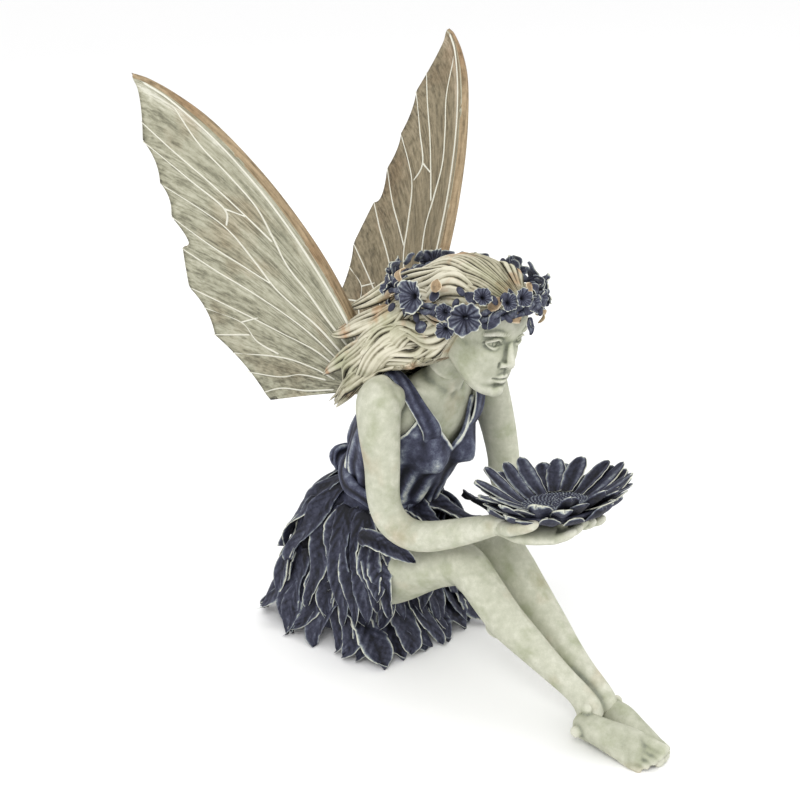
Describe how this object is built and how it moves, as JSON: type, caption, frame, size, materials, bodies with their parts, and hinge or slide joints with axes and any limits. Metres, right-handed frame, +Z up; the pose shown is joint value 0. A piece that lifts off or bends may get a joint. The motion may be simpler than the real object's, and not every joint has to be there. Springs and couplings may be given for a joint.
{
  "type": "garden fairy statue",
  "caption": "Seated winged garden fairy in cast resin with a leaf skirt and a flower wreath, holding a sunflower dish over her knees",
  "frame": {"origin": "middle of the flat underside that the statue sits on", "axes": "+Z up; the fairy faces -Y; her left hand and left wing are on +X"},
  "size_m": [0.3614, 0.4751, 0.5187],
  "materials": {
    "figure_resin": "stone-filled cast resin, grey-green with slate blue cloth and leaves and a dry-brushed pale patina",
    "wing_resin": "stone-filled cast resin, brown-green wash with whitish veins"
  },
  "bodies": {
    "root": {"figure": "figure_resin", "wing_left": "wing_resin", "wing_right": "wing_resin"}
  },
  "joints": []
}
